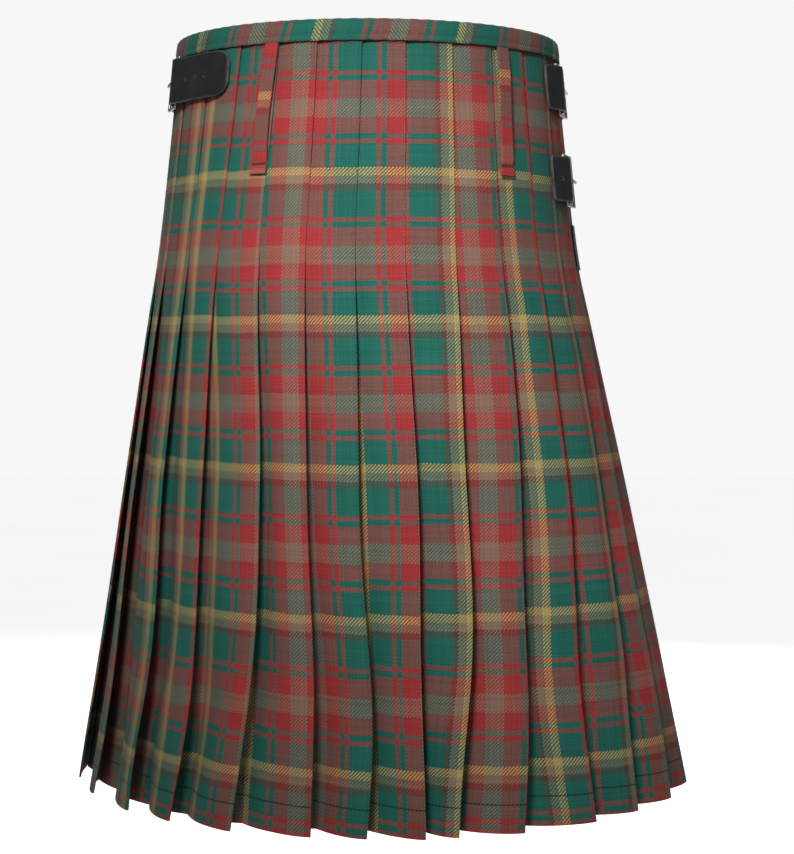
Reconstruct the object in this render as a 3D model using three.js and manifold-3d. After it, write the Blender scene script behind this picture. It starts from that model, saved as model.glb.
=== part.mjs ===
// A pleated kilt standing open as it is worn: knife pleats round the back, two flat aprons
// crossed in front, a narrow waistband, belt loops, and leather straps with buckles at the hips.
// Millimetres, +Z up. The origin is the middle of the waist opening, -Y is the wearer's back
// and +X the wearer's right.
import * as THREE from 'three';
import { mergeVertices } from 'three/addons/utils/BufferGeometryUtils.js';
import Module from 'manifold-3d';

// Cloth and the way it is layered.
const length = 610;
const cloth = 1.1;
const ease = 0.4;
const layer = cloth + ease;
const tuck = 0.75;

// The garment's outline by height: half width, half depth behind and in front, sideways swing,
// how far each fold stands above its neighbour, and how quickly a face levels out beside it.
const sections = [
  { down: 0, halfWidth: 156.5, back: 125, front: 112, swing: 0, proud: 3.0, press: 3.0 },
  { down: 90, halfWidth: 165.5, back: 137, front: 124, swing: 0, proud: 3.0, press: 3.0 },
  { down: 190, halfWidth: 178, back: 150, front: 138, swing: 0, proud: 3.2, press: 2.6 },
  { down: 225, halfWidth: 185, back: 154, front: 143, swing: 1, proud: 5.5, press: 1.7 },
  { down: 300, halfWidth: 199, back: 163, front: 152, swing: 3, proud: 8.5, press: 1.4 },
  { down: 400, halfWidth: 218, back: 175, front: 166, swing: 6, proud: 11, press: 1.3 },
  { down: 500, halfWidth: 237, back: 190, front: 182, swing: 10, proud: 13, press: 1.2 },
  { down: length, halfWidth: 257, back: 207, front: 200, swing: 14, proud: 15, press: 1.2 },
];

// Where each fold lies round the ring, in degrees from the centre back, at five heights.
const foldHeights = { waist: 16, fell: 190, mid: 350, low: 500, hem: length };
const folds = [
  { name: 'over_apron', waist: -82, fell: -82, mid: -82, low: -80, hem: -81 },
  { name: 'pleat_01', waist: -67, fell: -68, mid: -67, low: -64, hem: -67 },
  { name: 'pleat_02', waist: -52, fell: -53, mid: -52.5, low: -49, hem: -50 },
  { name: 'pleat_03', waist: -38, fell: -41, mid: -39, low: -36.5, hem: -39 },
  { name: 'pleat_04', waist: -25, fell: -27.5, mid: -24, low: -23, hem: -27 },
  { name: 'pleat_05', waist: -13.5, fell: -15, mid: -13, low: -12, hem: -12.5 },
  { name: 'pleat_06', waist: -1, fell: -2.5, mid: -2, low: -2, hem: -3.5 },
  { name: 'pleat_07', waist: 11, fell: 10, mid: 9.5, low: 7.5, hem: 6.5 },
  { name: 'pleat_08', waist: 25, fell: 23, mid: 20, low: 16.5, hem: 13 },
  { name: 'pleat_09', waist: 38, fell: 36.5, mid: 33, low: 28.5, hem: 25 },
  { name: 'pleat_10', waist: 51, fell: 50, mid: 47, low: 41.5, hem: 39 },
  { name: 'pleat_11', waist: 66, fell: 62, mid: 61, low: 54, hem: 50.5 },
  { name: 'pleat_12', waist: 79, fell: 75.5, mid: 72, low: 65.5, hem: 62 },
  { name: 'pleat_13', waist: 93, fell: 89, mid: 86, low: 80, hem: 77 },
];

// The aprons: the over apron ends at the wearer's right front, the under apron at the left.
const overApronEdge = -263;
const underApronEdge = 260;
const underApronSink = 3 * layer;

// Waistband, loops, label and leather.
const bandHeight = 16;
const panelTop = 2;
const bandSplit = { left: -95, right: 94.5 };
const loops = [
  { name: 'belt_loop_left', top: -26.8, bottom: -29 },
  { name: 'belt_loop_right', top: 42.2, bottom: 40.6 },
];
const loop = { width: 10, from: 17, to: 117, rise: 1.8 };
const label = { from: 77.5, to: 93, top: 150, bottom: 186 };
const leather = { width: 36, strap: 2.0, chape: 1.4 };
const buckle = { reach: 22, wire: 2.2, height: 43, bar: 2.4 };
const straps = [
  { name: 'left', turn: 1, heel: -70, middle: 36, tip: 68, tail: 62, round: 14 },
  { name: 'right_upper', turn: -1, heel: 70.5, middle: 41.5, tip: 20, tail: 62, round: 3 },
  { name: 'right_lower', turn: -1, heel: 69.5, middle: 115, tip: 22, tail: 62, round: 3 },
];
const barrel = { inner: 2.1, outer: 3.1, steps: 8 };
const heelRise = ease + barrel.outer;

// Levels at which the cloth is drawn.
const levels = [panelTop, bandHeight, 100, 190, 225, 300, 400, 500, length];

const group = new THREE.Group();

function material(color, roughness, metalness) {
  return new THREE.MeshStandardMaterial({ color, roughness, metalness });
}

const looks = {
  cloth: material(0x5f5a4c, 0.9, 0),
  leather: material(0x1d1c1f, 0.55, 0),
  metal: material(0xb9b9bd, 0.3, 1),
  label: material(0x141416, 0.85, 0),
};

function mix(rows, key, where, column) {
  const last = rows.length - 1;
  let i = 0;
  while (i < last - 1 && rows[i + 1][key] < where) i += 1;
  const a = rows[i];
  const b = rows[i + 1];
  const t = THREE.MathUtils.clamp((where - a[key]) / (b[key] - a[key]), 0, 1);
  return a[column] + (b[column] - a[column]) * t;
}

function sectionValue(down, column) {
  return mix(sections, 'down', down, column);
}

function foldAngle(index, down) {
  if (index < 0) return foldAngle(0, down) - 14;
  const rows = Object.keys(foldHeights).map((key) => ({
    down: foldHeights[key],
    angle: folds[index][key],
  }));
  return mix(rows, 'down', down, 'angle');
}

// A point of the garment: degrees round from the centre back, millimetres down from the waist,
// and millimetres sunk inside the outermost surface.
function at(degrees, down, sink) {
  const angle = THREE.MathUtils.degToRad(degrees);
  const halfWidth = sectionValue(down, 'halfWidth');
  const halfDepth = sectionValue(down, Math.cos(angle) > 0 ? 'back' : 'front');
  const normal = new THREE.Vector2(Math.sin(angle) / halfWidth, -Math.cos(angle) / halfDepth);
  normal.normalize();
  const x = sectionValue(down, 'swing') + halfWidth * Math.sin(angle) - normal.x * sink;
  const y = -halfDepth * Math.cos(angle) - normal.y * sink;
  return new THREE.Vector3(x, y, -down);
}

// Degrees that a length along the cloth takes up at one place.
function degreesFor(distance, degrees, down) {
  return distance / at(degrees + 0.5, down, 0).distanceTo(at(degrees - 0.5, down, 0));
}

// A closed wall from a grid of point pairs: pair(i, j) gives its two faces at station i, row j.
function wall(stations, rows, pair) {
  const positions = [];
  const index = [];
  const vertex = (i, j, face) => (i * rows + j) * 2 + face;
  const quad = (a, b, c, d) => index.push(a, b, c, a, c, d);
  for (let i = 0; i < stations; i += 1) {
    for (let j = 0; j < rows; j += 1) {
      for (const point of pair(i, j)) positions.push(point.x, point.y, point.z);
    }
  }
  for (let i = 0; i < stations - 1; i += 1) {
    for (let j = 0; j < rows - 1; j += 1) {
      quad(vertex(i, j, 0), vertex(i, j + 1, 0), vertex(i + 1, j + 1, 0), vertex(i + 1, j, 0));
      quad(vertex(i, j, 1), vertex(i + 1, j, 1), vertex(i + 1, j + 1, 1), vertex(i, j + 1, 1));
    }
    const last = rows - 1;
    quad(vertex(i, 0, 0), vertex(i + 1, 0, 0), vertex(i + 1, 0, 1), vertex(i, 0, 1));
    quad(vertex(i, last, 0), vertex(i, last, 1), vertex(i + 1, last, 1), vertex(i + 1, last, 0));
  }
  for (let j = 0; j < rows - 1; j += 1) {
    const end = stations - 1;
    quad(vertex(0, j, 0), vertex(0, j, 1), vertex(0, j + 1, 1), vertex(0, j + 1, 0));
    quad(vertex(end, j, 0), vertex(end, j + 1, 0), vertex(end, j + 1, 1), vertex(end, j, 1));
  }
  const geometry = new THREE.BufferGeometry();
  geometry.setAttribute('position', new THREE.Float32BufferAttribute(positions, 3));
  geometry.setIndex(index);
  return facingOut(geometry);
}

// Turns a closed geometry's faces outward if its volume comes out negative.
function facingOut(geometry) {
  const p = geometry.attributes.position;
  const index = geometry.index.array;
  const corner = (k) => new THREE.Vector3().fromBufferAttribute(p, index[k]);
  let volume = 0;
  for (let k = 0; k < index.length; k += 3) {
    volume += corner(k).dot(corner(k + 1).cross(corner(k + 2)));
  }
  if (volume < 0) index.reverse();
  geometry.computeVertexNormals();
  return geometry;
}

function add(name, geometry, look) {
  const mesh = new THREE.Mesh(geometry, look);
  mesh.name = name;
  group.add(mesh);
  return mesh;
}

// How far a face is sunk at a share of its width, 0 beside its neighbour and 1 at its own fold.
function faceSink(index, share, down) {
  if (index === 0) return 0;
  return sectionValue(down, 'proud') * (1 - share) ** sectionValue(down, 'press');
}

// A place on the face of one pleat, or lower in its stack of layers.
function onFace(index, share, down, below) {
  const from = foldAngle(index - 1, down);
  const to = foldAngle(index, down);
  return at(from + (to - from) * share, down, faceSink(index, share, down) + below);
}

// The part of a panel that lies under the fold before it, from its inner end outward.
function hiddenPoint(index, share, down, below, rest) {
  const over = index - 1;
  const inward = (1 - share) / tuck;
  const inner = faceSink(over, 1 - tuck, down) + 2 * layer;
  const sink = rest * (1 - inward) + inner * inward;
  const from = foldAngle(over - 1, down);
  const to = foldAngle(over, down);
  return at(from + (to - from) * share, down, sink + below);
}

const hiddenShares = [1 - tuck, 0.45, 0.8];
const faceShares = [0, 0.15, 0.45, 0.8, 1];
const returnShares = [0.8, 0.45, 1 - tuck];

// The rounded edge of a fold, where the cloth turns under.
function foldTip(index, down) {
  const edge = foldAngle(index, down);
  const lean = degreesFor(0.5, edge, down);
  const slit = degreesFor(1.0, edge, down);
  const middle = (cloth + layer) / 2;
  return [at(edge + lean, down, middle), at(edge - slit, down, middle)];
}

// The layer that runs back under a face from its fold.
function returnPair(index, share, down) {
  return [onFace(index, share, down, layer + cloth), onFace(index, share, down, layer)];
}

function addPleat(index) {
  const faceStart = hiddenShares.length;
  const tip = faceStart + faceShares.length;
  const stations = tip + 1 + returnShares.length;
  const geometry = wall(stations, levels.length, (i, j) => {
    const down = levels[j];
    const rest = sectionValue(down, 'proud');
    if (i < faceStart) {
      const share = hiddenShares[i];
      return [hiddenPoint(index, share, down, 0, rest), hiddenPoint(index, share, down, cloth, rest)];
    }
    if (i < tip) {
      const share = faceShares[i - faceStart];
      return [onFace(index, share, down, 0), onFace(index, share, down, cloth)];
    }
    if (i === tip) return foldTip(index, down);
    return returnPair(index, returnShares[i - tip - 1], down);
  });
  add(folds[index].name, geometry, looks.cloth);
}

// The over apron runs from its free edge across the front to the fold at the left hip.
function addOverApron() {
  const steps = 32;
  const returns = returnShares.length;
  const geometry = wall(steps + 2 + returns, levels.length, (i, j) => {
    const down = levels[j];
    if (i === steps + 1) return foldTip(0, down);
    if (i > steps + 1) return returnPair(0, returnShares[i - steps - 2], down);
    const to = foldAngle(0, down);
    const angle = overApronEdge + ((to - overApronEdge) * i) / steps;
    return [at(angle, down, 0), at(angle, down, cloth)];
  });
  add('over_apron', geometry, looks.cloth);
}

// The under apron starts beneath the last pleat and crosses the front inside the over apron.
function addUnderApron() {
  const steps = 32;
  const index = folds.length;
  const start = hiddenShares.length;
  const lapEnd = 97;
  const geometry = wall(start + steps + 1, levels.length, (i, j) => {
    const down = levels[j];
    const proud = Math.max(sectionValue(down, 'proud'), underApronSink);
    if (i < start) {
      const share = hiddenShares[i];
      const place = (below) => hiddenPoint(index, share, down, below, proud);
      return [place(0), place(cloth)];
    }
    const from = foldAngle(index - 1, down);
    const angle = from + ((underApronEdge - from) * (i - start)) / steps;
    const left = THREE.MathUtils.clamp((lapEnd - angle) / (lapEnd - from), 0, 1);
    const sink = underApronSink + (proud - underApronSink) * left;
    return [at(angle, down, sink), at(angle, down, sink + cloth)];
  });
  add('under_apron', geometry, looks.cloth);
}

// A stretch of waistband: one strip folded over the top edge of the panels.
function addBand(name, from, to, outer, inner) {
  const steps = Math.max(8, Math.round(Math.abs(to - from) / 5.5));
  const rows = [
    { out: [bandHeight, outer], in: [bandHeight, outer + cloth] },
    { out: [cloth, outer], in: [cloth + 0.2, outer + cloth] },
    { out: [0, outer + cloth], in: [cloth + 0.2, outer + cloth + 0.3] },
    { out: [0, inner], in: [cloth + 0.2, inner - 0.3] },
    { out: [cloth, inner + cloth], in: [cloth + 0.2, inner] },
    { out: [bandHeight, inner + cloth], in: [bandHeight, inner] },
  ];
  const geometry = wall(steps + 1, rows.length, (i, j) => {
    const angle = from + ((to - from) * i) / steps;
    return [rows[j].out, rows[j].in].map(([down, sink]) => at(angle, down, sink));
  });
  add(name, geometry, looks.cloth);
}

function addWaistband() {
  const seam = 0.1;
  const stack = 4 * layer;
  addBand('waistband_back', bandSplit.left + seam, bandSplit.right - seam, -layer, stack);
  addBand('waistband_over', overApronEdge, bandSplit.left - seam, -layer, layer);
  addBand('waistband_under', bandSplit.right + seam, underApronEdge, underApronSink - layer, stack);
}

// A narrow loop of the same cloth, sewn down at both ends and standing off a little between.
function addLoop({ name, top, bottom }) {
  const steps = 8;
  const geometry = wall(2, steps + 1, (i, j) => {
    const t = j / steps;
    const down = loop.from + (loop.to - loop.from) * t;
    const centre = top + (bottom - top) * t;
    const side = degreesFor(loop.width / 2, centre, down) * (i === 0 ? -1 : 1);
    const rise = ease + loop.rise * Math.sin(Math.PI * t);
    return [at(centre + side, down, -rise - cloth), at(centre + side, down, -rise)];
  });
  add(name, geometry, looks.cloth);
}

function addLabel() {
  const steps = 4;
  const geometry = wall(steps + 1, 2, (i, j) => {
    const angle = label.from + ((label.to - label.from) * i) / steps;
    const down = j === 0 ? label.top : label.bottom;
    return [at(angle, down, -ease - 1), at(angle, down, -ease)];
  });
  add('label_patch', geometry, looks.label);
}

// A point on a strap: distance along it from the heel bar towards the centre back, distance
// across it from its middle line, and height above the cloth.
function onStrap(strap, along, across, rise) {
  const down = strap.middle - across;
  const base = strap.middle - leather.width / 2 < bandHeight ? layer : 0;
  const angle = strap.heel + strap.turn * degreesFor(along, strap.heel, strap.middle);
  return at(angle, down, -rise - base);
}

// The strap passes under the far bar of the buckle, over its heel bar and along the chape.
const strapLift = [
  { along: -buckle.reach, rise: ease },
  { along: -13, rise: 0.8 },
  { along: -6, rise: 4.6 },
  { along: 0, rise: 7.0 },
  { along: 6, rise: 5.4 },
  { along: 14, rise: 2.6 },
  { along: 40, rise: 2.3 },
  { along: 68, rise: 1.6 },
];

// Places along a strap, close enough together to follow the curve of the cloth.
const routeSteps = 13;
function strapRoute(strap) {
  const rounding = [0, 0.1, 0.3, 0.6].map((share) => strap.tip - strap.round * share);
  const start = strap.tip - strap.round;
  const bends = strapLift.map((row) => row.along).filter((along) => along < start - 1);
  const even = [...Array(routeSteps + 1).keys()].map(
    (i) => start - ((start + strap.tail) * i) / routeSteps,
  );
  const body = [...even.filter((a) => bends.every((b) => Math.abs(a - b) > 2)), ...bends];
  body.sort((a, b) => b - a);
  return [...rounding, ...body].map((along) => ({
    along,
    rise: mix(strapLift, 'along', along, 'rise'),
  }));
}

function strapHalfWidth(strap, along) {
  const past = THREE.MathUtils.clamp((along - strap.tip + strap.round) / strap.round, 0, 1);
  return (leather.width / 2) * (0.45 + 0.55 * Math.sqrt(1 - past * past));
}

function asSolid(wasm, geometry) {
  const bare = geometry.clone();
  bare.deleteAttribute('normal');
  bare.deleteAttribute('uv');
  const merged = mergeVertices(bare, 1e-4);
  return new wasm.Manifold(new wasm.Mesh({
    numProp: 3,
    vertProperties: new Float32Array(merged.attributes.position.array),
    triVerts: new Uint32Array(merged.index.array),
  }));
}

function asGeometry(solid) {
  const mesh = solid.getMesh();
  const geometry = new THREE.BufferGeometry();
  geometry.setAttribute('position', new THREE.Float32BufferAttribute(mesh.vertProperties, 3));
  geometry.setIndex(Array.from(mesh.triVerts));
  geometry.computeVertexNormals();
  return geometry;
}

// The hole in the strap that the prong comes up through, the slot in the chape that it turns
// in, and the rises between which a cut goes right through the leather.
const prongHole = { from: -11.5, to: 2.4, half: 1.9 };
const chapeSlot = { reach: 5, half: 2.2 };
const rightThrough = [-1, 12];

// A block in strap coordinates, used to cut the prong's slot.
function strapBlock(strap, fromAlong, toAlong, halfAcross, fromRise, toRise) {
  return wall(2, 2, (i, j) => {
    const along = i === 0 ? fromAlong : toAlong;
    const across = j === 0 ? halfAcross : -halfAcross;
    return [onStrap(strap, along, across, toRise), onStrap(strap, along, across, fromRise)];
  });
}

function addStrap(wasm, strap) {
  const route = strapRoute(strap);
  const geometry = wall(route.length, 3, (i, j) => {
    const { along, rise } = route[i];
    const across = strapHalfWidth(strap, along) * (1 - j);
    return [
      onStrap(strap, along, across, rise + leather.strap),
      onStrap(strap, along, across, rise),
    ];
  });
  const slot = strapBlock(strap, prongHole.from, prongHole.to, prongHole.half, ...rightThrough);
  const cut = asSolid(wasm, geometry).subtract(asSolid(wasm, slot));
  add(`strap_${strap.name}`, asGeometry(cut), looks.leather);
}

// Points round the heel bar, starting beneath it and turning away from the chape.
function roundHeel(radius, turn) {
  const angle = -Math.PI / 2 - turn;
  return [radius * Math.cos(angle), heelRise + radius * Math.sin(angle)];
}

// The chape is a leather tab sewn to the cloth, its end wrapped round the heel bar.
function addChape(wasm, strap) {
  const reach = strap.tip > 40 ? 34 : strap.tip - 6;
  const flat = [1, 0.75, 0.5, 0.25].map((share) => reach * share);
  const wrap = THREE.MathUtils.degToRad(235);
  const stations = flat.length + barrel.steps + 1;
  const half = leather.width / 2 - 1;
  const geometry = wall(stations, 2, (i, j) => {
    const across = j === 0 ? half : -half;
    if (i < flat.length) {
      const along = flat[i];
      return [onStrap(strap, along, across, ease), onStrap(strap, along, across, ease + leather.chape)];
    }
    const turn = (wrap * (i - flat.length)) / barrel.steps;
    return [barrel.outer, barrel.inner].map((radius) => {
      const [along, rise] = roundHeel(radius, turn);
      return onStrap(strap, along, across, rise);
    });
  });
  const slot = strapBlock(strap, -chapeSlot.reach, chapeSlot.reach, chapeSlot.half, ...rightThrough);
  const cut = asSolid(wasm, geometry).subtract(asSolid(wasm, slot));
  add(`chape_${strap.name}`, asGeometry(cut), looks.leather);
}

// The buckle: a flat rectangular frame whose heel bar the chape holds.
function addFrame(strap) {
  const outerHalf = buckle.reach / 2 + buckle.bar / 2;
  const halfHeight = buckle.height / 2;
  const shape = new THREE.Shape();
  roundedOutline(shape, outerHalf, halfHeight, 3);
  const hole = new THREE.Path();
  roundedOutline(hole, outerHalf - buckle.bar, halfHeight - 2.8, 1.2);
  shape.holes.push(hole);
  const options = { depth: buckle.wire, bevelEnabled: false, curveSegments: 3 };
  const geometry = new THREE.ExtrudeGeometry(shape, options);
  geometry.translate(0, 0, -buckle.wire / 2);
  const heel = onStrap(strap, 0, 0, heelRise);
  const far = onStrap(strap, -buckle.reach, 0, leather.strap + 2 * ease + buckle.wire / 2 + 0.2);
  const along = heel.clone().sub(far).normalize();
  const rough = onStrap(strap, 0, 10, 0).sub(onStrap(strap, 0, -10, 0));
  const across = rough.sub(along.clone().multiplyScalar(rough.dot(along))).normalize();
  const out = new THREE.Vector3().crossVectors(along, across);
  const mesh = add(`buckle_${strap.name}`, geometry, looks.metal);
  mesh.quaternion.setFromRotationMatrix(new THREE.Matrix4().makeBasis(along, across, out));
  mesh.position.copy(heel.add(far).multiplyScalar(0.5));
}

function roundedOutline(path, halfX, halfY, radius) {
  path.moveTo(halfX - radius, -halfY);
  path.absarc(halfX - radius, -halfY + radius, radius, -Math.PI / 2, 0);
  path.absarc(halfX - radius, halfY - radius, radius, 0, Math.PI / 2);
  path.absarc(-halfX + radius, halfY - radius, radius, Math.PI / 2, Math.PI);
  path.absarc(-halfX + radius, -halfY + radius, radius, Math.PI, Math.PI * 1.5);
  path.closePath();
}

// The prong hooks on the heel bar, comes up through the strap and rests on the far bar.
const prong = { steps: 6, thickness: 1.3, half: 1.2, hook: 250 };

function addProng(strap) {
  const { steps, thickness, half } = prong;
  const hook = THREE.MathUtils.degToRad(prong.hook);
  const rest = leather.strap + 2 * ease + buckle.wire + 0.6;
  const geometry = wall(steps + 3, 2, (i, j) => {
    const across = j === 0 ? half : -half;
    if (i <= steps) {
      const angle = -hook / 2 - 0.35 + (hook * i) / steps;
      return [barrel.inner + thickness, barrel.inner].map((radius) => {
        const rise = heelRise + radius * Math.sin(angle);
        return onStrap(strap, radius * Math.cos(angle), across, rise);
      });
    }
    const along = i === steps + 1 ? -10 : -buckle.reach - 2.4;
    const rise = i === steps + 1 ? rest + 0.2 : rest;
    return [onStrap(strap, along, across, rise + thickness), onStrap(strap, along, across, rise)];
  });
  add(`prong_${strap.name}`, geometry, looks.metal);
}

const wasm = await Module();
wasm.setup();

addOverApron();
for (let index = 1; index < folds.length; index += 1) addPleat(index);
addUnderApron();
addWaistband();
loops.forEach(addLoop);
addLabel();
for (const strap of straps) {
  addStrap(wasm, strap);
  addChape(wasm, strap);
  addFrame(strap);
  addProng(strap);
}

export default group;
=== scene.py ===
import math
import bpy
import numpy as np
from mathutils import Matrix, Vector


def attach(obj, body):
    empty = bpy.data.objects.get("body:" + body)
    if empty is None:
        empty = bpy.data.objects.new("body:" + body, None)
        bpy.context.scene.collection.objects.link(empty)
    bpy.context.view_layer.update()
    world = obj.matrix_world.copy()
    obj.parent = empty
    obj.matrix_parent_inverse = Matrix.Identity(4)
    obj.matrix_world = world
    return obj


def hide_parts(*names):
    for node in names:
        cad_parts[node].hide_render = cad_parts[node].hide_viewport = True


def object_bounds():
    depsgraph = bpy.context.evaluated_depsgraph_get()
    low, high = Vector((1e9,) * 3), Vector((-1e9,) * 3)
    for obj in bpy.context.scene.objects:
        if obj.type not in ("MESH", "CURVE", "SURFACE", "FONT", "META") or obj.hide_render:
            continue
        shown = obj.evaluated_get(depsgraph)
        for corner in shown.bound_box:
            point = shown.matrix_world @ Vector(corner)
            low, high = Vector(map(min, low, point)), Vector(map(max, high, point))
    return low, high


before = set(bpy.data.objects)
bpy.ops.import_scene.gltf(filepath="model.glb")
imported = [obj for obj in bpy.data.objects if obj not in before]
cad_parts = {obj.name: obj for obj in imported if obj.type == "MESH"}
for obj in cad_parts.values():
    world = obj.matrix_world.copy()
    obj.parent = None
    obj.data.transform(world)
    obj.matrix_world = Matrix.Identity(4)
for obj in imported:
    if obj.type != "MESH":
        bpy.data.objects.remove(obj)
cad_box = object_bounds()


# --- Floor, light and camera ----------------------------------------------------------------
# The kilt stands open in the air as it does on its wearer, well above a plain pale floor. A
# soft key light falls on the pleats from above, with a weak fill and a light on the aprons.

def new_material(name):
    material = bpy.data.materials.new(name)
    material.use_nodes = True
    tree = material.node_tree
    return material, tree, tree.nodes["Principled BSDF"]


floor_drop = 0.45
floor_width = 16
floor_paint, tree, shader = new_material("floor_paint")
shader.inputs["Roughness"].default_value = 0.9
cloudy = tree.nodes.new("ShaderNodeTexNoise")
cloudy.inputs["Scale"].default_value = 1.5
tint = tree.nodes.new("ShaderNodeValToRGB")
tint.color_ramp.elements[0].color = (0.80, 0.80, 0.80, 1)
tint.color_ramp.elements[1].color = (0.84, 0.84, 0.84, 1)
tree.links.new(tree.nodes.new("ShaderNodeTexCoord").outputs["Object"], cloudy.inputs["Vector"])
tree.links.new(cloudy.outputs["Fac"], tint.inputs["Fac"])
tree.links.new(tint.outputs["Color"], shader.inputs["Base Color"])
tree.links.new(tint.outputs["Color"], shader.inputs["Emission Color"])
shader.inputs["Emission Strength"].default_value = 0.92

bpy.ops.object.select_all(action="DESELECT")
bpy.ops.mesh.primitive_plane_add(size=floor_width, location=(0, 0, cad_box[0][2] - floor_drop))
floor = bpy.context.object
floor.name = "floor"
floor.data.materials.append(floor_paint)
floor.visible_diffuse = False

bpy.context.scene.view_settings.view_transform = "Standard"
room_light = 0.19
room_backdrop = 0.93
sky = bpy.data.worlds.new("soft_room")
bpy.context.scene.world = sky
sky.use_nodes = True
room = sky.node_tree
seen = room.nodes.new("ShaderNodeMapRange")
seen.inputs["To Min"].default_value = room_light
seen.inputs["To Max"].default_value = room_backdrop
room.links.new(room.nodes.new("ShaderNodeLightPath").outputs["Is Camera Ray"], seen.inputs["Value"])
room.links.new(seen.outputs["Result"], room.nodes["Background"].inputs["Strength"])
room.nodes["Background"].inputs["Color"].default_value = (1.0, 1.0, 1.0, 1)


def soft_light(name, place, target, size, watts, spread=180):
    light = bpy.data.lights.new(name, "AREA")
    light.spread = math.radians(spread)
    light.size = size
    light.energy = watts
    lamp = bpy.data.objects.new(name, light)
    lamp.location = place
    lamp.rotation_euler = (Vector(target) - Vector(place)).to_track_quat("-Z", "Y").to_euler()
    bpy.context.collection.objects.link(lamp)


soft_light("key", (-0.22, -1.04, 0.54), (0.06, -0.12, -0.24), 0.26, 1.64, 51)
soft_light("fill", (1.4, -2.4, 0.4), (0, 0, -0.3), 1.4, 5)
soft_light("front", (0.4, 2.6, 0.5), (0, 0, -0.3), 1.4, 42)

view = bpy.data.cameras.new("view")
view.sensor_fit = "HORIZONTAL"
view.sensor_width = 36
view.lens = 75.0
view.clip_start = 0.05
camera = bpy.data.objects.new("camera", view)
camera.location = (0.0244, -1.400, -0.240)
camera.rotation_euler = (math.radians(90 - 3.2), 0, 0)
bpy.context.collection.objects.link(camera)
bpy.context.scene.camera = camera


# --- The pleats -----------------------------------------------------------------------------
# Thirteen knife pleats round the back, all folded towards the wearer's right. Each is a face
# that comes out from under its neighbour, turns at its fold and runs back beneath itself. They
# are stitched down flat to the fell, and hang free below it, where they flare.

# All the cloth lies on one ring that widens from the waist to the hem. A place on it is given
# in degrees from the centre back, metres down from the waist and metres sunk inside the
# outermost surface. The ring's widths and the places of the folds repeat those of the solids,
# while the faces swell out further here, from 2 mm above the fell to 22 mm at the hem.

cloth = 0.0008
cloth_wall = cloth * 0.9
layer = 0.0010
tuck = 0.75
length = 0.610
section_columns = ("down", "half_width", "back", "front", "swing", "proud", "press")
sections = dict(zip(section_columns, np.array([
    (0.000, 0.1565, 0.125, 0.112, 0.000, 0.0021, 3.0),
    (0.090, 0.1655, 0.137, 0.124, 0.000, 0.0021, 3.0),
    (0.190, 0.1780, 0.150, 0.138, 0.000, 0.0024, 2.4),
    (0.225, 0.1850, 0.154, 0.143, 0.001, 0.0062, 1.9),
    (0.300, 0.1990, 0.163, 0.152, 0.003, 0.0112, 1.8),
    (0.400, 0.2180, 0.175, 0.166, 0.006, 0.0150, 1.7),
    (0.500, 0.2370, 0.190, 0.182, 0.010, 0.0185, 1.7),
    (0.610, 0.2570, 0.207, 0.200, 0.014, 0.0220, 1.6),
]).T))


def smooth_through(xs, ys, x):
    """A smooth curve through a few measured points."""
    slopes = np.gradient(ys, xs)
    x = np.clip(x, xs[0], xs[-1])
    i = np.clip(np.searchsorted(xs, x, side="right") - 1, 0, len(xs) - 2)
    width = xs[i + 1] - xs[i]
    t = (x - xs[i]) / width
    start = ys[i] * (1 + 2 * t) * (1 - t) ** 2 + slopes[i] * width * t * (1 - t) ** 2
    end = ys[i + 1] * t * t * (3 - 2 * t) + slopes[i + 1] * width * t * t * (t - 1)
    return start + end


def section(column, down):
    return smooth_through(sections["down"], sections[column], down)


# The soft creases, each by its degrees round, metres down, length, width, depth and lean in
# degrees: troughs have a negative depth and ridges a positive one.
creases = np.array([
    (-76, 0.330, 0.10, 0.010, -0.0012, 6), (-60, 0.480, 0.14, 0.012, 0.0018, -6),
    (-57, 0.300, 0.08, 0.010, -0.0012, 10), (-46, 0.545, 0.10, 0.012, 0.0022, -14),
    (-44, 0.380, 0.12, 0.011, -0.0016, 6), (-31, 0.500, 0.12, 0.013, -0.0022, -12),
    (-33, 0.585, 0.07, 0.012, 0.0024, -16), (-19, 0.420, 0.14, 0.012, 0.0014, 5),
    (-18, 0.570, 0.09, 0.011, -0.0018, -8), (-7, 0.330, 0.10, 0.012, -0.0009, 4),
    (-6, 0.530, 0.12, 0.013, 0.0016, -3), (4, 0.450, 0.13, 0.012, -0.0012, 2),
    (6, 0.590, 0.06, 0.012, 0.0018, 5), (14, 0.350, 0.11, 0.012, 0.0010, 6),
    (13, 0.560, 0.10, 0.012, -0.0014, 4), (24, 0.480, 0.15, 0.012, 0.0012, 6),
    (30, 0.260, 0.06, 0.009, -0.0010, 14), (33, 0.540, 0.12, 0.012, -0.0015, 6),
    (44, 0.230, 0.05, 0.008, 0.0012, 24), (45, 0.420, 0.12, 0.012, -0.0012, 10),
    (57, 0.240, 0.05, 0.008, 0.0014, 28), (60, 0.215, 0.05, 0.007, -0.0014, 30),
    (55, 0.500, 0.12, 0.011, 0.0014, 8), (70, 0.300, 0.08, 0.010, -0.0012, 12),
    (72, 0.520, 0.12, 0.012, 0.0016, 8), (112, 0.420, 0.20, 0.020, -0.0016, 4),
    (128, 0.300, 0.16, 0.022, 0.0018, 8), (141, 0.500, 0.18, 0.024, -0.0022, 5),
    (163, 0.380, 0.22, 0.026, 0.0016, 2), (178, 0.520, 0.16, 0.026, -0.0020, -3),
    (-160, 0.300, 0.20, 0.024, -0.0014, -5), (-146, 0.480, 0.20, 0.024, 0.0022, -6),
    (-128, 0.360, 0.18, 0.022, -0.0018, -8), (-112, 0.520, 0.14, 0.018, 0.0020, -6),
    (-98, 0.420, 0.16, 0.016, -0.0016, -5),
])


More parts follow.
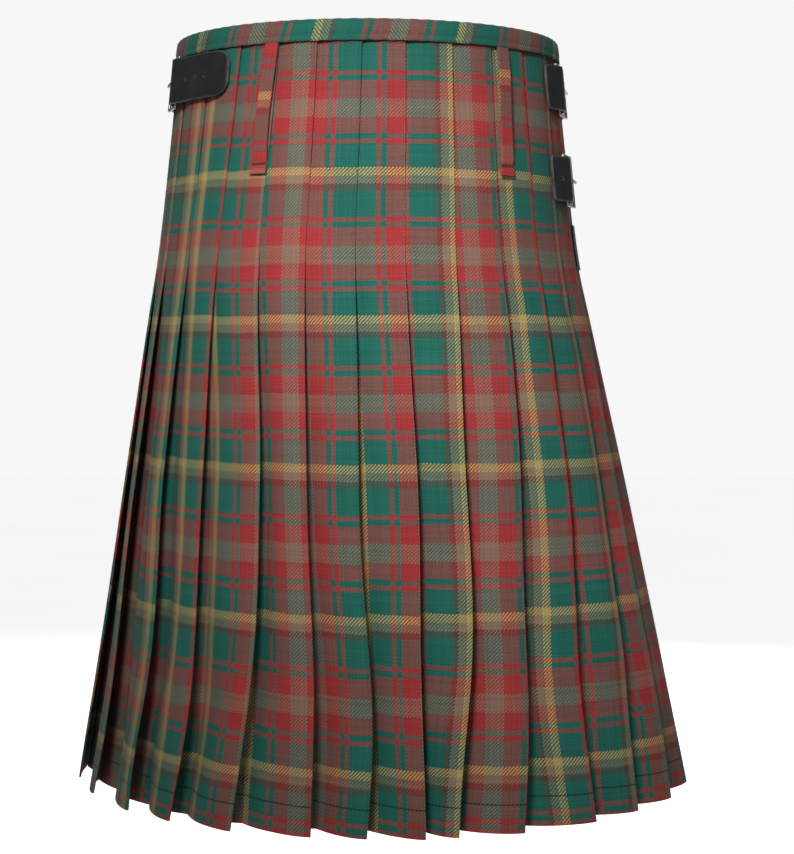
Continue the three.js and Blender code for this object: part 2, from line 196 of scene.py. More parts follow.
def rumple(degrees, down):
    """How far the cloth stands out of its plain form, by its creases and a slow uneven sway."""
    out = np.zeros(np.broadcast(degrees, down).shape)
    for around, middle, long, wide, depth, lean in creases:
        across = ((degrees - around + 180) % 360 - 180) * 0.0036
        along = down - middle
        across = across - along * math.tan(math.radians(lean))
        out = out + depth * np.exp(-((across / wide) ** 2) - (along / (long / 2)) ** 2)
    loose = np.clip((down - 0.20) / 0.25, 0, 1)
    turn = np.radians(degrees)
    sway = np.sin(3 * turn + 9 * down) + 0.7 * np.sin(7 * turn - 14 * down + 1.3)
    sway = sway + 0.5 * np.sin(13 * turn + 21 * down + 0.4)
    return out + loose * 0.0011 * sway


def wander(degrees, down):
    """How far a fold strays sideways, in degrees, because no pleat hangs quite true."""
    turn = np.radians(degrees)
    loose = np.clip((down - 0.20) / 0.30, 0, 1)
    stray = np.sin(5 * turn + 13 * down + 0.8) + 0.6 * np.sin(11 * turn - 19 * down)
    return stray * (0.10 + 0.60 * loose)


def at(degrees, down, sink):
    """Points of the garment, as an array whose last axis is x, y, z."""
    degrees, down, sink = np.broadcast_arrays(degrees, down, sink)
    sink = sink - rumple(degrees, down)
    turn = np.radians(degrees + wander(degrees, down))
    half_width = section("half_width", down)
    share = 0.5 + 0.5 * np.clip(np.cos(turn) / 0.25, -1, 1)
    half_depth = section("back", down) * share + section("front", down) * (1 - share)
    normal_x = np.sin(turn) / half_width
    normal_y = -np.cos(turn) / half_depth
    size = np.hypot(normal_x, normal_y)
    x = section("swing", down) + half_width * np.sin(turn) - normal_x / size * sink
    y = -half_depth * np.cos(turn) - normal_y / size * sink
    return np.stack([x, y, -down], axis=-1)


# The over apron's lies on its middle instead.
fold_heights = np.array([0.016, 0.190, 0.350, 0.500, 0.610])
fold_columns = ("name", "waist", "fell", "mid", "low", "hem", "thread")
fold_rows = [
    ("over_apron", -82, -82, -82, -80, -81, 0.62),
    ("pleat_01", -67, -68, -67, -64, -67, 0.98),
    ("pleat_02", -52, -53, -52.5, -49, -50, 0.08),
    ("pleat_03", -38, -41, -39, -36.5, -39, 0.24),
    ("pleat_04", -25, -27.5, -24, -23, -27, 0.43),
    ("pleat_05", -13.5, -15, -13, -12, -12.5, 0.57),
    ("pleat_06", -1, -2.5, -2, -2, -3.5, 0.875),
    ("pleat_07", 11, 10, 9.5, 7.5, 6.5, 0.41),
    ("pleat_08", 25, 23, 20, 16.5, 13, 0.035),
    ("pleat_09", 38, 36.5, 33, 28.5, 25, 0.70),
    ("pleat_10", 51, 50, 47, 41.5, 39, 0.25),
    ("pleat_11", 66, 62, 61, 54, 50.5, 0.99),
    ("pleat_12", 79, 75.5, 72, 65.5, 62, 0.47),
    ("pleat_13", 93, 89, 86, 80, 77, 0.73),
]
folds = [dict(zip(fold_columns, row)) for row in fold_rows]


def fold_angle(index, down):
    if index < 0:
        return fold_angle(0, down) - 14
    row = np.array([folds[index][key] for key in fold_columns[1:6]], float)
    return smooth_through(fold_heights, row, down)


def face_sink(index, share, down):
    """How far a face is sunk at a share of its width, from 0 beside its neighbour to 1."""
    if index == 0:
        return np.zeros(np.broadcast(share, down).shape)
    return section("proud", down) * np.clip(1 - share, 0, 1) ** section("press", down)


# The tartan is a worsted woven in a 2/2 twill: two threads over, two under, stepping by one, so
# the warp and weft colours mix in fine slanting lines. The stripes follow each thread's number.

repeat = 0.112
thread = 0.00070
stripe_width = 152
yarns = {
    "gold": (0.37, 0.285, 0.105),
    "green": (0.0125, 0.110, 0.084),
    "red": (0.31, 0.030, 0.032),
    "tan": (0.215, 0.128, 0.092),
    "khaki": (0.20, 0.155, 0.095),
    "dark": (0.085, 0.045, 0.034),
}
stripes = [
    ("gold", 8), ("green", 25), ("red", 5), ("green", 5), ("red", 18), ("tan", 19),
    ("red", 19), ("green", 5), ("red", 5), ("green", 28), ("dark", 6), ("khaki", 9),
]
hem_stitch = 0.589
stitch_half = 0.00055
stitch_step = 0.0032
weft_start = 0.1134


def node_maths(tree, operation, first, second=None, third=None):
    node = tree.nodes.new("ShaderNodeMath")
    node.operation = operation
    for socket, value in zip(node.inputs, (first, second, third)):
        if value is None:
            continue
        if isinstance(value, bpy.types.NodeSocket):
            tree.links.new(value, socket)
        else:
            socket.default_value = value
    return node.outputs[0]


def stripe_ramp(tree, place):
    """The yarn colour at a place in the repeat, from 0 to 1."""
    ramp = tree.nodes.new("ShaderNodeValToRGB")
    ramp.color_ramp.interpolation = "CONSTANT"
    spots = ramp.color_ramp.elements
    start = 0
    for count, (yarn, width) in enumerate(stripes):
        spot = spots[count] if count < 2 else spots.new(start / stripe_width)
        spot.position = start / stripe_width
        spot.color = (*yarns[yarn], 1)
        start += width
    tree.links.new(place, ramp.inputs["Fac"])
    return ramp.outputs["Color"]


def mixed(tree, blend, factor, first, second):
    node = tree.nodes.new("ShaderNodeMix")
    node.data_type = "RGBA"
    node.blend_type = blend
    for socket, value in ((node.inputs[0], factor), (node.inputs[6], first), (node.inputs[7], second)):
        if isinstance(value, bpy.types.NodeSocket):
            tree.links.new(value, socket)
        else:
            socket.default_value = value
    return node.outputs[2]


tartan, tree, shader = new_material("tartan_twill")
cut = tree.nodes.new("ShaderNodeUVMap")
cut.uv_map = "cloth"
split = tree.nodes.new("ShaderNodeSeparateXYZ")
tree.links.new(cut.outputs["UV"], split.inputs[0])

# Threads run a little unevenly, so the cut is nudged by a soft noise before it is counted.
slub = tree.nodes.new("ShaderNodeTexNoise")
slub.inputs["Scale"].default_value = 90
tree.links.new(cut.outputs["UV"], slub.inputs["Vector"])
nudge = node_maths(tree, "MULTIPLY", node_maths(tree, "SUBTRACT", slub.outputs["Fac"], 0.5), 0.0012)
warp = node_maths(tree, "DIVIDE", node_maths(tree, "ADD", split.outputs[0], nudge), thread)
weft = node_maths(tree, "DIVIDE", node_maths(tree, "ADD", split.outputs[1], nudge), thread)
warp_count = node_maths(tree, "FLOOR", warp)
weft_count = node_maths(tree, "FLOOR", weft)
step = node_maths(tree, "FLOORED_MODULO", node_maths(tree, "ADD", warp_count, weft_count), 4.0)
warp_up = node_maths(tree, "LESS_THAN", step, 1.5)

warp_place = node_maths(tree, "MULTIPLY", warp_count, thread / repeat)
warp_place = node_maths(tree, "FRACT", warp_place)
weft_place = node_maths(tree, "MULTIPLY", weft_count, thread / repeat)
weft_shift = weft_start / repeat + 8 / stripe_width
weft_place = node_maths(tree, "FRACT", node_maths(tree, "SUBTRACT", weft_shift + 8, weft_place))
colour = mixed(tree, "MIX", warp_up, stripe_ramp(tree, weft_place), stripe_ramp(tree, warp_place))

# Each thread is spun a shade lighter or darker, and the cloth is slightly mottled all over.
spin = tree.nodes.new("ShaderNodeTexWhiteNoise")
spin.noise_dimensions = "2D"
numbers = tree.nodes.new("ShaderNodeCombineXYZ")
tree.links.new(node_maths(tree, "MULTIPLY", warp_count, warp_up), numbers.inputs[0])
under = node_maths(tree, "SUBTRACT", 1.0, warp_up)
tree.links.new(node_maths(tree, "MULTIPLY", weft_count, under), numbers.inputs[1])
tree.links.new(numbers.outputs[0], spin.inputs["Vector"])
shade = node_maths(tree, "MULTIPLY_ADD", spin.outputs["Value"], 0.30, 0.85)
mottle = tree.nodes.new("ShaderNodeTexNoise")
mottle.inputs["Scale"].default_value = 26
mottle.inputs["Detail"].default_value = 5
tree.links.new(cut.outputs["UV"], mottle.inputs["Vector"])
mottling = node_maths(tree, "MULTIPLY_ADD", mottle.outputs["Fac"], 0.30, 0.85)
shade = node_maths(tree, "MULTIPLY", shade, mottling)
shade_colour = tree.nodes.new("ShaderNodeCombineColor")
for socket in shade_colour.inputs:
    tree.links.new(shade, socket)
colour = mixed(tree, "MULTIPLY", 1.0, colour, shade_colour.outputs[0])

# The hem is turned up and caught by a line of dark stitches.
from_stitch = node_maths(tree, "ABSOLUTE", node_maths(tree, "SUBTRACT", split.outputs[1], hem_stitch))
on_line = node_maths(tree, "LESS_THAN", from_stitch, stitch_half)
dash = node_maths(tree, "FRACT", node_maths(tree, "DIVIDE", split.outputs[0], stitch_step))
dash = node_maths(tree, "MULTIPLY_ADD", node_maths(tree, "LESS_THAN", dash, 0.7), 0.55, 0.35)
colour = mixed(tree, "MIX", node_maths(tree, "MULTIPLY", on_line, dash), colour, (0.012, 0.012, 0.014, 1))
tree.links.new(colour, shader.inputs["Base Color"])

# Each thread stands up rounded where it lies on top, and the finish leaves a short nap.
warp_round = node_maths(tree, "PINGPONG", node_maths(tree, "SUBTRACT", warp, warp_count), 0.5)
weft_round = node_maths(tree, "PINGPONG", node_maths(tree, "SUBTRACT", weft, weft_count), 0.5)
ridge = node_maths(tree, "MULTIPLY", warp_round, warp_up)
ridge = node_maths(tree, "ADD", ridge, node_maths(tree, "MULTIPLY", weft_round, under))
nap = tree.nodes.new("ShaderNodeTexNoise")
nap.inputs["Scale"].default_value = 900
nap.inputs["Detail"].default_value = 3
tree.links.new(cut.outputs["UV"], nap.inputs["Vector"])
ridge = node_maths(tree, "ADD", ridge, node_maths(tree, "MULTIPLY", nap.outputs["Fac"], 0.6))
bump = tree.nodes.new("ShaderNodeBump")
bump.inputs["Strength"].default_value = 0.35
bump.inputs["Distance"].default_value = 0.0004
tree.links.new(ridge, bump.inputs["Height"])
tree.links.new(bump.outputs["Normal"], shader.inputs["Normal"])
shader.inputs["Roughness"].default_value = 0.88
shader.inputs["Specular IOR Level"].default_value = 0.14
shader.inputs["Sheen Weight"].default_value = 0.035
shader.inputs["Sheen Roughness"].default_value = 0.45


def smoothed(piece):
    bpy.ops.object.select_all(action="DESELECT")
    piece.select_set(True)
    bpy.context.view_layer.objects.active = piece
    bpy.ops.object.shade_smooth_by_angle(angle=math.radians(50))


def grid_mesh(name, points):
    """A sheet of four-sided faces through a grid of points, with the corners of each face."""
    stations, rows = points.shape[:2]
    grid = np.arange(stations * rows).reshape(stations, rows)
    corners = (grid[:-1, :-1], grid[:-1, 1:], grid[1:, 1:], grid[1:, :-1])
    faces = np.stack([corner.ravel() for corner in corners], axis=-1)
    mesh = bpy.data.meshes.new(name)
    mesh.from_pydata(points.reshape(-1, 3).tolist(), [], faces.tolist())
    return mesh, faces


def cloth_piece(name, points, cut, thickness):
    """A wall of cloth from a grid of points and the place of each in the cut, in metres."""
    mesh, faces = grid_mesh(name, points)
    layout = mesh.uv_layers.new(name="cloth")
    layout.data.foreach_set("uv", cut.reshape(-1, 2)[faces.ravel()].ravel())
    piece = bpy.data.objects.new(name, mesh)
    bpy.context.collection.objects.link(piece)
    mesh.materials.append(tartan)
    smoothed(piece)
    wall = piece.modifiers.new("wall", "SOLIDIFY")
    wall.thickness = thickness
    wall.offset = -1
    wall.use_quality_normals = True
    bpy.ops.object.modifier_apply(modifier=wall.name)
    smoothed(piece)
    return piece


def cut_lengths(points, station):
    """How far along the cloth each point lies from one station, row by row."""
    steps = np.linalg.norm(np.diff(points, axis=0), axis=-1)
    along = np.concatenate([np.zeros((1, points.shape[1])), np.cumsum(steps, axis=0)])
    return along - along[station]


panel_top = 0.002
rows_down = np.concatenate([
    np.linspace(panel_top, 0.190, 40)[:-1],
    np.linspace(0.190, 0.300, 30)[:-1],
    np.linspace(0.300, length, 64),
])
hidden_shares = np.linspace(1 - tuck, 1, 9)[:-1]
face_shares = np.concatenate([np.linspace(0, 0.9, 22)[:-1], np.linspace(0.9, 1, 5)])
turn_steps = np.linspace(0, math.pi, 8)[1:-1]
return_shares = np.linspace(1, 1 - tuck, 10)


def under_fold(index, share, down, rest):
    """The sink of the part of a panel that lies beneath the fold before it."""
    inward = (1 - share) / tuck
    inner = face_sink(index - 1, np.full_like(down, 1 - tuck), down) + 2 * layer
    return rest * (1 - inward) + inner * inward


def between_folds(index, share, down):
    start = fold_angle(index - 1, down)
    return start + (fold_angle(index, down) - start) * share


def turned_edge(index, down):
    """The rounded edge of a fold, from the face to the layer beneath it."""
    edge = fold_angle(index, down)
    radius = (layer + cloth) / 2
    degrees_per_metre = 0.5 / np.linalg.norm(at(edge + 0.5, down, 0) - at(edge, down, 0), axis=-1)
    for step in turn_steps:
        sideways = radius * 0.8 * math.sin(step) * degrees_per_metre
        yield at(edge + sideways, down, radius * (1 - math.cos(step)))


def pleat_points(index, down):
    lines = []
    rest = section("proud", down)
    for share in hidden_shares:
        lines.append(at(between_folds(index - 1, share, down), down, under_fold(index, share, down, rest)))
    for share in face_shares:
        lines.append(at(between_folds(index, share, down), down, face_sink(index, share, down)))
    edge = len(lines) - 1
    lines.extend(turned_edge(index, down))
    for share in return_shares:
        sink = face_sink(index, share, down) + layer + cloth
        lines.append(at(between_folds(index, share, down), down, sink))
    return np.array(lines), edge


for index in range(1, len(folds)):
    fold = folds[index]
    points, edge = pleat_points(index, rows_down)
    across = cut_lengths(points, edge) + fold["thread"] * repeat
    slip = 0.0007 * math.sin(2.7 * index)
    down_cut = np.broadcast_to(rows_down + slip, across.shape)
    piece = cloth_piece(fold["name"] + "_cloth", points, np.stack([across, down_cut], -1), cloth_wall)
    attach(piece, "root")
    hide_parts(fold["name"])


# --- The aprons -----------------------------------------------------------------------------
# Two flat panels cross in front. The over apron turns under in a fold at the left hip and ends
# at the right, with its threads plumb in the middle of the front and fanning out to the sides.
# The under apron starts beneath the last pleat and ends inside, at the left.

over_edge = -263
under_edge = 260
under_sink = 0.0045
lap_end = 97
apron_steps = 120
under_thread = 0.40


def over_apron_points(down):
    lines = []
    for share in np.linspace(0, 1, apron_steps):
        lines.append(at(over_edge + (fold_angle(0, down) - over_edge) * share, down, 0))
    lines.extend(turned_edge(0, down))
    for share in return_shares:
        lines.append(at(between_folds(0, share, down), down, layer + cloth))
    return np.array(lines), apron_steps * 45 // 100


def under_apron_points(down):
    index = len(folds)
    lines = []
    rest = np.maximum(section("proud", down), under_sink)
    for share in hidden_shares:
        lines.append(at(between_folds(index - 1, share, down), down, under_fold(index, share, down, rest)))
    start = fold_angle(index - 1, down)
    for share in np.linspace(0, 1, apron_steps):
        around = start + (under_edge - start) * share
        left = np.clip((lap_end - around) / (lap_end - start), 0, 1)
        lines.append(at(around, down, under_sink + (rest - under_sink) * left))
    return np.array(lines), 0


for name, (points, edge), edge_thread in (
    ("over_apron", over_apron_points(rows_down), folds[0]["thread"]),
    ("under_apron", under_apron_points(rows_down), under_thread),
):
    across = cut_lengths(points, edge) + edge_thread * repeat
    down_cut = np.broadcast_to(rows_down, across.shape)
    piece = cloth_piece(name + "_cloth", points, np.stack([across, down_cut], -1), cloth_wall)
    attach(piece, "root")
    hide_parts(name)


# --- The waistband --------------------------------------------------------------------------
# A strip of the same cloth, cut the other way up and slightly askew, folded over the top edge
# of the panels and stitched through just above its lower edge.

band_height = 0.016
band_seam = 0.0125
band_slant = 0.27
band_places = [
    ("waistband_back", -94.9, 94.4, -0.0015, 0.0060, 0.84),
    ("waistband_over", over_edge, -95.1, -0.0015, 0.0015, 0.30),
    ("waistband_under", 94.6, under_edge, 0.0030, 0.0060, 0.55),
]


def band_profile(outer, inner):
    """Down and sink of the strip's outer side, from its outer edge over the top and inside."""
    bottom = [(band_height, outer + 0.0004), (band_height - 0.0006, outer)]
    seam = [(band_seam + 0.0012, outer), (band_seam, outer + 0.00045), (band_seam - 0.0012, outer)]
    side = [(0.0085, outer - 0.0002), (0.0045, outer - 0.0001), (0.0015, outer + 0.0001)]
    middle = (outer + inner + cloth) / 2
    top = [(0.0004, outer + 0.0008), (0.0, outer + 0.0020), (-0.0002, middle)]
    back = [(0.0, inner + cloth - 0.0020), (0.0004, inner + cloth - 0.0008)]
    inside = [(0.0015, inner + cloth), (band_height, inner + cloth)]
    return bottom + seam + side + top + back + inside


for name, start, end, outer, inner, edge_thread in band_places:
    profile = band_profile(outer, inner)
    around = np.linspace(start, end, max(60, int(abs(end - start) * 0.9)))
    points = np.array([[at(turn, np.array(down), sink) for down, sink in profile] for turn in around])
    points[..., 2] += 0.00018 * np.sin(np.radians(around) * 85)[:, None]
    across = cut_lengths(points, 0)
    across = np.broadcast_to(across[:, 4:5], across.shape)
    over_profile = np.linalg.norm(np.diff(points[0], axis=0), axis=-1)
    down_cut = band_height - np.concatenate([[0], np.cumsum(over_profile)])
    down_cut = np.broadcast_to(down_cut, across.shape)
    strip_cut = np.stack([edge_thread * repeat - across - band_slant * down_cut, 0.2083 + down_cut], -1)
    piece = cloth_piece(name + "_cloth", points, strip_cut, cloth_wall)
    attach(piece, "root")
    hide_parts(name)


# --- The belt loops -------------------------------------------------------------------------
# Narrow strips of the same cloth with their edges turned in, caught under the waistband and
# sewn down lower on the back by a bar of dark thread that pinches them.

loop_width = 0.010
loop_top = 0.0165
loop_foot = 0.117
loop_stitch = 0.109
loop_thick = 0.0008
tack_radius = 0.00042
tack_rise = 0.0019
loop_rows = [
    ("belt_loop_left", -26.8, -29.0, 0.057, 0.60),
    ("belt_loop_right", 42.2, 40.6, 0.037, 0.60),
]

sewing_thread, tree, shader = new_material("sewing_thread")
twist = tree.nodes.new("ShaderNodeTexWave")
twist.inputs["Scale"].default_value = 900
twist.inputs["Distortion"].default_value = 1.5
twist_colour = tree.nodes.new("ShaderNodeValToRGB")
twist_colour.color_ramp.elements[0].color = (0.030, 0.012, 0.012, 1)
twist_colour.color_ramp.elements[1].color = (0.090, 0.030, 0.028, 1)
tree.links.new(tree.nodes.new("ShaderNodeTexCoord").outputs["Object"], twist.inputs["Vector"])
tree.links.new(twist.outputs["Fac"], twist_colour.inputs["Fac"])
tree.links.new(twist_colour.outputs["Color"], shader.inputs["Base Color"])
shader.inputs["Roughness"].default_value = 0.7


def beside(around, down, sideways):
    """The angle a short way round from a place on the ring."""
    one_degree = np.linalg.norm(at(around + 0.5, down, 0) - at(around - 0.5, down, 0), axis=-1)
    return around + sideways / one_degree


def loop_rise(down):
    along = np.clip((down - loop_top) / (loop_stitch - loop_top), 0, 1)
    pinch = np.exp(-(((down - loop_stitch) / 0.0022) ** 2))
    foot = np.clip((down - loop_stitch) / 0.004, 0, 1) * 0.0008
    return 0.0006 + 0.0021 * np.sin(math.pi * along) ** 0.7 - 0.0004 * pinch + foot


for name, top, bottom, gold_line, edge_thread in loop_rows:
    down = np.linspace(loop_top, loop_foot, 60)
    along = (down - loop_top) / (loop_foot - loop_top)
    centre = top + (bottom - top) * along + 0.12 * np.sin(along * 9)
    across_profile = [
        (-1.0, 0.0002), (-0.97, 0.0009), (-0.86, 0.0012), (-0.70, 0.0011), (0.0, 0.0012),
        (0.70, 0.0011), (0.86, 0.0012), (0.97, 0.0009), (1.0, 0.0002),
    ]
    points = []
    for side, lift in across_profile:
        spread = 1.12 + 0.28 * np.clip((along - 0.75) / 0.25, 0, 1)
        spread = spread - 0.18 * np.exp(-(((down - loop_stitch) / 0.002) ** 2))
        turn = beside(centre, down, side * loop_width / 2 * spread)
        points.append(at(turn, down, -loop_rise(down) - lift))
    points = np.array(points)
    across = cut_lengths(points, 4) + edge_thread * repeat
    down_cut = np.broadcast_to(down - gold_line + weft_start + 0.003, across.shape)
    piece = cloth_piece(name + "_cloth", points, np.stack([across, down_cut], -1), loop_thick)
    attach(piece, "root")
    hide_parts(name)
    foot = bottom - (bottom - top) * (loop_foot - loop_stitch) / (loop_foot - loop_top)
    ends = [(-0.0058, 0.0), (0.0058, 0.0), (-0.0056, 0.0011), (0.0056, 0.0009)]
    places = [
        Vector(at(beside(foot, np.array(loop_stitch), side), np.array(loop_stitch + low), -tack_rise))
        for side, low in ends
    ]
    bars = []
    for begin, finish in zip(places[0::2], places[1::2]):
        bpy.ops.object.select_all(action="DESELECT")
        run = finish - begin
        bpy.ops.mesh.primitive_cylinder_add(
            vertices=10, radius=tack_radius, depth=run.length,
            location=(begin + finish) / 2, rotation=run.to_track_quat("Z", "Y").to_euler(),
        )
        bars.append(bpy.context.object)
    for bar in bars:
        bar.select_set(True)
    bpy.ops.object.join()
    tack = bpy.context.object
    bpy.ops.object.transform_apply(location=True, rotation=True, scale=True)
    tack.name = name + "_tack"
    tack.data.materials.append(sewing_thread)
    smoothed(tack)
    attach(tack, "root")


# --- The leather straps ---------------------------------------------------------------------
# Black bridle leather, 36 mm wide and punched with small round holes. One fastens at the left
# hip and two at the right, each through a buckle held by a short chape sewn to the cloth.

strap_width = 0.036
strap_thick = 0.0020
chape_thick = 0.0014
ease = 0.0004
buckle_reach = 0.022
barrel_radius = 0.0031
heel_rise = ease + barrel_radius
strap_columns = ("name", "turn", "heel", "middle", "tip", "round", "holes")
strap_rows = [
    ("left", 1, -70.0, 0.036, 0.068, 0.014, (0.018, 0.031, 0.044)),
    ("right_upper", -1, 70.5, 0.0415, 0.020, 0.003, ()),
    ("right_lower", -1, 69.5, 0.115, 0.022, 0.003, (0.011,)),
]
straps = [dict(zip(strap_columns, row)) for row in strap_rows]
strap_tail = 0.062
hole_radius = 0.0013
hole_rim = 0.0017
punch_depth = 0.009
lift_along = np.array([-0.062, -0.040, -0.022, -0.013, -0.006, 0.0, 0.006, 0.014, 0.040, 0.068])
lift_rise = np.array([0.4, 0.4, 0.4, 0.9, 4.6, 7.0, 5.4, 2.6, 2.2, 1.2]) * 0.001

leather, tree, shader = new_material("black_leather")
place = tree.nodes.new("ShaderNodeTexCoord").outputs["Object"]
grain = tree.nodes.new("ShaderNodeTexVoronoi")
grain.inputs["Scale"].default_value = 1400
tree.links.new(place, grain.inputs["Vector"])
wear_and_highlight = tree.nodes.new("ShaderNodeTexNoise")
wear_and_highlight.inputs["Scale"].default_value = 70
wear_and_highlight.inputs["Detail"].default_value = 8
tree.links.new(place, wear_and_highlight.inputs["Vector"])
# The edge attribute marks the cut rims and the rims round the holes. They are painted a lighter grey as a
# highlight, broken up by the same noise that varies the leather's tone and gloss.
edge_mark = tree.nodes.new("ShaderNodeAttribute")
edge_mark.attribute_name = "edge"
surface = tree.nodes.new("ShaderNodeValToRGB")
surface.color_ramp.elements[0].color = (0.006, 0.006, 0.008, 1)
surface.color_ramp.elements[1].color = (0.018, 0.018, 0.022, 1)
tree.links.new(wear_and_highlight.outputs["Fac"], surface.inputs["Fac"])
highlight_break = node_maths(tree, "SUBTRACT", wear_and_highlight.outputs["Fac"], 0.15)
rim_highlight = node_maths(tree, "MULTIPLY", edge_mark.outputs["Fac"], highlight_break)
finish = mixed(tree, "MIX", rim_highlight, surface.outputs["Color"], (0.16, 0.155, 0.16, 1))
tree.links.new(finish, shader.inputs["Base Color"])
gloss = node_maths(tree, "MULTIPLY_ADD", wear_and_highlight.outputs["Fac"], 0.22, 0.30)
tree.links.new(gloss, shader.inputs["Roughness"])
shader.inputs["Specular IOR Level"].default_value = 0.32
pores = tree.nodes.new("ShaderNodeBump")
pores.inputs["Strength"].default_value = 0.25
pores.inputs["Distance"].default_value = 0.0002
tree.links.new(grain.outputs["Distance"], pores.inputs["Height"])
tree.links.new(pores.outputs["Normal"], shader.inputs["Normal"])


def on_strap(strap, along, across, rise):
    """Along from the heel bar towards the centre back, across from the middle, out from the cloth."""
    down = strap["middle"] - across
    middle = np.array(strap["middle"])
    one_degree = np.linalg.norm(at(strap["heel"] + 0.5, middle, 0) - at(strap["heel"] - 0.5, middle, 0))
    around = strap["heel"] + strap["turn"] * along / one_degree
    return at(around, down, -rise)


def strap_rise(along):
    return smooth_through(lift_along, lift_rise, along)


def leather_piece(name, points, rim):
    """A sheet of leather, not yet thickened; the edge attribute marks its cut rim for the painted
    highlight.
    """
    mesh = grid_mesh(name, points)[0]
    mark = mesh.attributes.new("edge", "FLOAT", "POINT")
    mark.data.foreach_set("value", rim.ravel())
    piece = bpy.data.objects.new(name, mesh)
    bpy.context.collection.objects.link(piece)
    mesh.materials.append(leather)
    bpy.ops.object.select_all(action="DESELECT")
    piece.select_set(True)
    bpy.context.view_layer.objects.active = piece
    bpy.ops.object.mode_set(mode="EDIT")
    bpy.ops.mesh.select_all(action="SELECT")
    bpy.ops.mesh.normals_make_consistent(inside=False)
    bpy.ops.object.mode_set(mode="OBJECT")
    return piece


def thickened(piece, thickness, outward):
    """Gives a sheet its thickness away from the side that its points describe."""
    middle = piece.data.polygons[len(piece.data.polygons) // 2]
    facing = Vector((middle.center.x, middle.center.y, 0)).dot(middle.normal) > 0
    if facing != outward:
        piece.data.flip_normals()
    wall = piece.modifiers.new("wall", "SOLIDIFY")
    wall.thickness = thickness
    wall.offset = 1 if outward else -1
    wall.use_quality_normals = True
    bpy.ops.object.modifier_apply(modifier=wall.name)
    soften = piece.modifiers.new("soften", "BEVEL")
    soften.width = 0.00035
    soften.segments = 2
    soften.limit_method = "ANGLE"
    soften.angle_limit = math.radians(50)
    bpy.ops.object.modifier_apply(modifier=soften.name)
    smoothed(piece)


def strap_half(strap, along):
    past = np.clip((along - strap["tip"] + strap["round"]) / strap["round"], 0, 1)
    return strap_width / 2 * (0.42 + 0.58 * np.sqrt(1 - past ** 2))


for strap in straps:
    body = np.linspace(-strap_tail, strap["tip"] - strap["round"], 60)
    tip = strap["tip"] - strap["round"] * np.cos(np.linspace(0, math.pi / 2, 9)[1:])
    along = np.concatenate([body, tip])
    share = np.concatenate([[-1, -0.95], np.linspace(-0.9, 0.9, 17), [0.95, 1]])
    half = strap_half(strap, along)
    points = on_strap(strap, along[:, None], half[:, None] * share[None, :], strap_rise(along)[:, None])
    # The rims along both sides and at the tip are marked for the painted highlight.
    rim = np.clip((np.abs(share)[None, :] - 0.93) / 0.07, 0, 1) * np.ones_like(along)[:, None]
    rim = np.maximum(rim, (along[:, None] > strap["tip"] - 0.001))
    piece = leather_piece("strap_" + strap["name"] + "_leather", points, rim.astype(float))
    thickened(piece, strap_thick, True)
    for hole in strap["holes"]:
        rise = strap_rise(np.array(hole))
        middle = Vector(on_strap(strap, hole, np.array(0.0), rise))
        above = Vector(on_strap(strap, hole, np.array(0.0), rise + 0.01))
        aim = (above - middle).to_track_quat("Z", "Y").to_euler()
        bpy.ops.object.select_all(action="DESELECT")
        bpy.ops.mesh.primitive_cylinder_add(
            vertices=20, radius=hole_radius, depth=punch_depth, location=middle, rotation=aim,
        )
        punch = bpy.context.object
        bite = piece.modifiers.new("hole", "BOOLEAN")
        bite.object = punch
        bite.operation = "DIFFERENCE"
        bpy.context.view_layer.objects.active = piece
        bpy.ops.object.modifier_apply(modifier=bite.name)
        bpy.data.objects.remove(punch)
        # The top of each hole's rim is marked for the painted highlight too.
        surface_at = Vector(on_strap(strap, hole, np.array(0.0), rise + strap_thick))
        mark = piece.data.attributes["edge"]
        for vertex in piece.data.vertices:
            if (vertex.co - surface_at).length < hole_rim:
                mark.data[vertex.index].value = 1.0
    smoothed(piece)
    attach(piece, "root")
    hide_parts("strap_" + strap["name"])


# --- The chapes -----------------------------------------------------------------------------
# Short leather tabs, sewn flat to the cloth at one end and wrapped round the buckle's heel bar
# at the other, with a slot in the wrap for the prong.

chape_half = strap_width / 2 - 0.001
slot_half = 0.0022


def chape_route(strap):
    """Along and rise of the tab's inner side, from its sewn end round the heel bar."""
    reach = 0.034 if strap["tip"] > 0.04 else strap["tip"] - 0.006
    flat = [(reach * share, ease) for share in (1.0, 0.8, 0.6, 0.4, 0.2)]
    wrap = []
    for turn in np.linspace(0, math.radians(235), 18):
        angle = -math.pi / 2 - turn
        wrap.append((barrel_radius * math.cos(angle), heel_rise + barrel_radius * math.sin(angle)))
    return np.array(flat + wrap)


